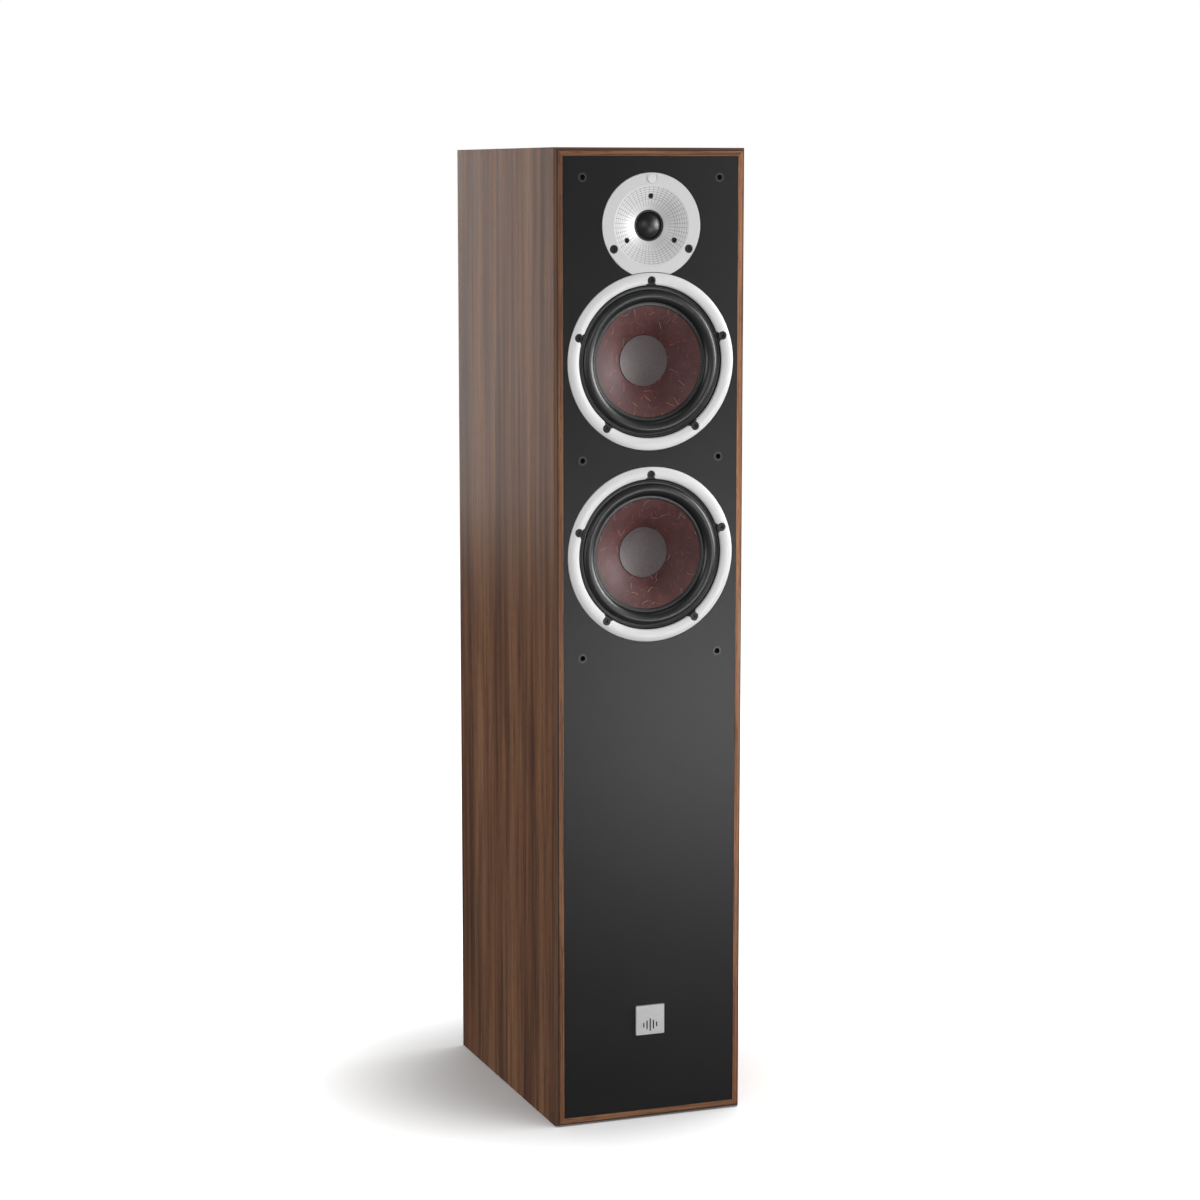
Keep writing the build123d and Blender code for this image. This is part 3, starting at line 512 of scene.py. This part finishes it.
FINISHES = {                 # by CAD slot
    "black_baffle": baffle_foil(),
    "black_board": grained(
        "black foil", colour(30, 30, 30), 0.0008, 0.00005, 0.5, Specular_IOR_Level=0.3
    ),
    "raw_board": chipboard(),
    "silver": grained(
        "silver paint", colour(211, 211, 211), 0.0004, 0.00002, 0.42, 0.02, 0.03, Metallic=0.08
    ),
    "brushed_badge": brushed("brushed badge", colour(206, 206, 206), "X", 0.36, filled_bars),
    "black_plastic": grained("black plastic", colour(30, 30, 31), 0.0005, 0.00005, 0.45),
    "brass": brushed("gilt brass", colour(226, 184, 104), "Y", 0.25),
    "red_plastic": grained(
        "red plastic", colour(170, 22, 20), 0.0004, 0.00002, 0.28, Transmission_Weight=0.12
    ),
    "black_cap_plastic": grained("smoked plastic", colour(22, 22, 24), 0.0004, 0.00002, 0.28),
    "black_screw": grained(
        "black oxide steel", colour(14, 14, 15), 0.0003, 0.00002, 0.4, Specular_IOR_Level=0.35
    ),
    "gasket_foam": grained(
        "gasket foam", colour(34, 34, 34), 0.0006, 0.0003, 0.9, Specular_IOR_Level=0.1
    ),
    "basket_paint": grained("basket paint", colour(44, 44, 45), 0.0005, 0.00006, 0.5),
    "surround_rubber": grained(
        "surround rubber", colour(23, 25, 24), 0.0009, 0.00003, 0.34, 0.08, 0.05
    ),
    "fibre_cone": fibre_cone(),
    "cap_fabric": woven("coated cap cloth", colour(84, 74, 74), 0.00085, 0.00008, 0.5),
    "coil_wire": wound_wire(),
    "spider_cloth": woven("spider cloth", colour(170, 140, 80), 0.0009, 0.00010, 0.8),
    "plated_steel": grained(
        "plated steel", colour(178, 178, 172), 0.0005, 0.00002, 0.34, Metallic=0.9
    ),
    "ferrite": grained("ferrite", colour(52, 52, 54), 0.0008, 0.00012, 0.62),
    "dome_cloth": woven("coated dome cloth", colour(20, 20, 21), 0.0005, 0.00003, 0.34),
    "circuit_board": circuit_board(),
    "capacitor_film": grained("capacitor film", colour(190, 150, 40), 0.0012, 0.00003, 0.3),
    "resistor_ceramic": grained("white ceramic", colour(214, 210, 200), 0.0005, 0.0001, 0.7),
    "lead_sheath": grained("lead sheath", colour(34, 34, 36), 0.0006, 0.00003, 0.42),
    "wadding": fleece(),
}
OWN_FINISHES = {             # by node, where it differs from its slot's
    "left_side_panel": walnut("walnut upright", "Z"),
    # painted light: the right side panel's walnut is 1.65 times lighter, standing in for the
    # brighter light falling on that side
    "right_side_panel": walnut("walnut upright, light", "Z", 1.65),
    "top_panel": walnut("walnut level", "X", 1.1),
    "bottom_panel": walnut("walnut level, low", "X", 1.05),
    "tweeter_faceplate": faceplate_paint(),
    # painted highlight: the sockets' plastic is lighter grey than the black plastic elsewhere,
    # standing in for light caught on their rims
    "grille_sockets": grained("socket plastic", colour(46, 46, 47), 0.0005, 0.00005, 0.36),
}

for name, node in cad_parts.items():
    imported = node.material_slots[0].material.name
    node.material_slots[0].material = OWN_FINISHES.get(name) or FINISHES[imported]


# ================================================================ soft parts
def linked(name, data):
    """A new object in the scene."""
    made = bpy.data.objects.new(name, data)
    bpy.context.scene.collection.objects.link(made)
    return made


def new_piece(name, points, faces, slot):
    """A smooth mesh in the row frame, with a slot's finish."""
    mesh = bpy.data.meshes.new(name)
    mesh.from_pydata([tuple(map(float, p)) for p in points], [], faces)
    mesh.shade_smooth()
    shaped = bmesh.new()
    shaped.from_mesh(mesh)
    bmesh.ops.recalc_face_normals(shaped, faces=shaped.faces)
    shaped.to_mesh(mesh)
    shaped.free()
    mesh.materials.append(FINISHES[slot])
    piece = linked(name, mesh)
    return piece


def lathe(name, front, thickness, centre, slot, sides=192):
    """A thin turned skin, its front through (radius, y) points and its back a thickness behind."""
    loop = [*front, *[(r, y + thickness) for r, y in reversed(front)]]
    angles = [2 * math.pi * i / sides for i in range(sides)]
    points = [
        (centre.x + r * math.cos(a), y, centre.z + r * math.sin(a)) for r, y in loop for a in angles
    ]
    count = len(loop)
    faces = [
        (
            i * sides + j,
            i * sides + (j + 1) % sides,
            (i + 1) % count * sides + (j + 1) % sides,
            (i + 1) % count * sides + j,
        )
        for i in range(count)
        for j in range(sides)
    ]
    return new_piece(name, points, faces, slot)


def blend_outwards(piece, centre):
    """Lays the piece's points out by their radius about the centre, bakes its transform, and sets
    the points back.
    """
    corners = piece.data.vertices
    places = np.empty(3 * len(corners))
    corners.foreach_get("co", places)
    radii = np.hypot(places[0::3] - centre.x, places[2::3] - centre.z)
    laid_out = np.zeros_like(places)
    laid_out[0::3] = radii
    corners.foreach_set("co", laid_out)
    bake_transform(piece)
    corners.foreach_set("co", places)
    piece.data.update()


def half_roll(outer, inner, outer_y, inner_y, crest, steps=28):
    """(radius, y) points over a half roll between two radii, with its middle at crest."""
    points = []
    for i in range(steps + 1):
        share = (1 - math.cos(math.pi * i / steps)) / 2
        rise = (outer_y + inner_y) / 2 - crest
        y = outer_y + (inner_y - outer_y) * share - rise * math.sin(math.pi * i / steps)
        points.append((outer + (inner - outer) * share, y))
    return points


for woofer, body in WOOFERS.items():
    low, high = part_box(f"{woofer}_surround")
    axis = (low + high) / 2
    rim = (high.x - low.x) / 2
    flange_y = low.y + FLANGE_DEPTH
    step_y = flange_y + 0.25 * MM
    lip_y = high.y - RUBBER_THICK
    flange = [
        (rim, flange_y),
        (rim - 0.9 * MM, flange_y),
        (rim - 1.2 * MM, flange_y - BEAD),
        (rim - 1.7 * MM, flange_y - BEAD),
        (rim - 2.1 * MM, flange_y),
        (ROLL_OUTER + 0.8 * MM, step_y),
    ]
    roll = half_roll(ROLL_OUTER, ROLL_INNER, step_y, lip_y, low.y)
    lip = [
        (ROLL_INNER - 0.7 * MM, lip_y + 0.1 * MM),
        (CONE_EDGE + 0.5 * MM, lip_y),
        (CONE_EDGE, lip_y + 0.3 * MM),
    ]
    front = flange + roll + lip
    surround = lathe(f"{woofer}_rubber_surround", front, RUBBER_THICK, axis, "surround_rubber")
    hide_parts(f"{woofer}_surround")
    blend_outwards(surround, axis)

    low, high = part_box(f"{woofer}_spider")
    rim = (high.x - low.x) / 2
    middle_y = (low.y + high.y) / 2
    reach = SPIDER_FLAT - SPIDER_NECK - SPIDER_COLLAR
    folds = [(rim, middle_y), (SPIDER_FLAT, middle_y)]
    steps = SPIDER_FOLDS * 10
    for i in range(1, steps):
        wave = math.sin(math.pi * SPIDER_FOLDS * i / steps)
        folds.append((SPIDER_FLAT - reach * i / steps, middle_y - FOLD_HEIGHT * wave))
    folds.append((SPIDER_NECK, middle_y))
    spider = lathe(f"{woofer}_cloth_spider", folds, SPIDER_THICK, axis, "spider_cloth", 144)
    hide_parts(f"{woofer}_spider")
    blend_outwards(spider, axis)

low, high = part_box("tweeter_surround")
axis = (low + high) / 2
flange = [(r, low.y + 2.2 * MM) for r in (18 * MM, 16.4 * MM)]
roll = half_roll(
    TWEETER_ROLL_OUTER, TWEETER_ROLL_INNER, low.y + 1.6 * MM, low.y + 1.1 * MM, low.y, 16
)
cloth = lathe("tweeter_cloth_surround", flange + roll, TWEETER_CLOTH_THICK, axis, "dome_cloth", 144)
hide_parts("tweeter_surround")
blend_outwards(cloth, axis)


def wadding_block(name, low, high):
    """A lumpy block of wadding with soft edges inside a box."""
    shaped = bmesh.new()
    bmesh.ops.create_cube(shaped, size=2)
    bmesh.ops.subdivide_edges(shaped, edges=shaped.edges, cuts=WADDING_CUTS, use_grid_fill=True)
    half = (high - low) / 2
    core = half - Vector((WADDING_ROUND, WADDING_ROUND, WADDING_ROUND))
    for corner in shaped.verts:
        spot = Vector(c * h for c, h in zip(corner.co, half))
        inner = Vector(min(max(s, -c), c) for s, c in zip(spot, core))
        outwards = (spot - inner).normalized()
        sunk = sum(deep * (1 + noise.noise(spot * count)) for deep, count in WADDING_LUMPS)
        corner.co = (low + high) / 2 + inner + outwards * (WADDING_ROUND - sunk)
    mesh = bpy.data.meshes.new(name)
    shaped.to_mesh(mesh)
    shaped.free()
    mesh.shade_smooth()
    mesh.materials.append(FINISHES["wadding"])
    block = linked(name, mesh)
    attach(block, "root")
    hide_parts("damping_pads")


pad_points = [v.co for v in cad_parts["damping_pads"].data.vertices]
between_pads = middle("damping_pads").z
for name, above in (("upper_wadding", True), ("lower_wadding", False)):
    pad = np.array([p for p in pad_points if (p.z > between_pads) == above])
    wadding_block(name, Vector(pad.min(0)), Vector(pad.max(0)))


# ================================================================ studio
def soft_light(name, place, target, size, brightness):
    """A rectangular softbox, whose brightness of 1 is that of white paper in full light."""
    lamp = bpy.data.lights.new(name, "AREA")
    lamp.shape = "RECTANGLE"
    lamp.size, lamp.size_y = size
    lamp.energy = brightness * math.pi * size[0] * size[1]
    box = linked(name, lamp)
    box.location = place
    box.rotation_euler = (Vector(target) - Vector(place)).to_track_quat("-Z", "Y").to_euler()
    box.visible_camera = False
    return box


def stage_piece(name, mesh, material):
    """Part of the studio and not of the object."""
    mesh.materials.append(material)
    piece = linked(name, mesh)
    piece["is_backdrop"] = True
    return piece


floor_mesh = bpy.data.meshes.new("floor")
corners = [(x * STUDIO, y * STUDIO, FLOOR_Z) for x, y in ((-1, -1), (1, -1), (1, 1), (-1, 1))]
floor_mesh.from_pydata(corners, [], [(0, 1, 2, 3)])
paper = Finish("floor paper", Specular_IOR_Level=0.0, Emission_Color=(1, 1, 1, 1))
away = paper.add("ShaderNodeVectorMath", {0: paper.place}, operation="LENGTH").outputs[1]
# painted shadow: the floor glows less near the object, so it darkens round the base besides the
# overhead light's real shadow
paper.feed("Emission Strength", paper.span(away, SHADE_FROM, SHADE_TO, 0.06, 0.9))
mottle = paper.noise(0.4)
shades = [(0.3, (0.80, 0.80, 0.80, 1)), (0.7, (0.83, 0.83, 0.83, 1))]
paper.feed("Base Color", paper.ramp(mottle, shades))
paper.feed("Roughness", paper.span(mottle, 0.3, 0.7, 0.85, 0.95))
floor = stage_piece("floor", floor_mesh, paper.material)

# Only the camera sees the floor and the backdrop: the world and the softboxes light the object.
white = Finish(
    "white backdrop",
    Base_Color=(0, 0, 0, 1),
    Emission_Color=(1, 1, 1, 1),
    Emission_Strength=1.0,
    Specular_IOR_Level=0.0,
)
shell = bmesh.new()
bmesh.ops.create_uvsphere(shell, u_segments=48, v_segments=24, radius=STUDIO)
shell_mesh = bpy.data.meshes.new("backdrop")
shell.to_mesh(shell_mesh)
shell.free()
backdrop = stage_piece("backdrop", shell_mesh, white.material)
for ray in ("diffuse", "glossy", "transmission", "volume_scatter", "shadow"):
    setattr(backdrop, f"visible_{ray}", False)
    setattr(floor, f"visible_{ray}", False)

scene = bpy.context.scene
world = bpy.data.worlds.new("studio")
world.use_nodes = True
sky = world.node_tree.nodes["Background"]
sky.inputs["Color"].default_value = (1, 1, 1, 1)
sky.inputs["Strength"].default_value = 0.13
scene.world = world
scene.view_settings.view_transform = "Standard"

object_only = bpy.data.collections.new("lit by the softboxes")
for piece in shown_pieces():
    object_only.objects.link(piece)
floor_only = bpy.data.collections.new("lit from overhead")
floor_only.objects.link(floor)
for light in (
    soft_light("key from the right", (2.6, -1.15, 1.05), (0, -0.1, 0.55), (1.2, 1.5), 16),
    soft_light("front fill", (-0.9, -3.2, 1.4), (0, -0.1, 0.5), (1.4, 1.0), 4),
    soft_light("low box in front", (0.66, -1.5, 0.15), (0, -0.15, 0.43), (0.5, 0.32), 9.2),
    soft_light("tall box in front", (1.0, -1.55, 0.75), (0, -0.15, 0.7), (0.36, 1.0), 3.4),
    soft_light("strip from the left", (-1.45, -1.85, 0.6), (0, -0.15, 0.65), (0.2, 0.4), 3),
    soft_light("sheen from behind", (-0.24, 0.85, 0.92), (-0.1, 0.1, 0.75), (0.28, 0.95), 2.5),
    soft_light("wide left", (-2.8, -0.4, 0.8), (0, 0, 0.4), (1.8, 1.6), 4.8),
    soft_light("floor bounce", (0.1, -1.75, -0.03), (0, -1.0, 1.2), (2.4, 1.4), 0.2),
    soft_light("from above", (0, 0.1, 2.7), (0, 0, 0.9), (1.4, 1.4), 1.8),
    soft_light("rear fill", (0.9, 3.2, 1.5), (0, 0.15, 0.45), (1.5, 1.3), 4),
):
    light.light_linking.receiver_collection = object_only
overhead = soft_light("over the floor", (0.9, -0.3, 2.4), (0.3, -0.1, 0), (3.2, 3.2), 3.3)
overhead.light_linking.receiver_collection = floor_only

camera_data = bpy.data.cameras.new("camera")
camera_data.lens = 88.68
camera = linked("camera", camera_data)
camera.location = (-1.0355, -2.7896, 0.9226)
camera.rotation_euler = (math.radians(90 - 8.11), 0, math.radians(-20.43))
scene.camera = camera
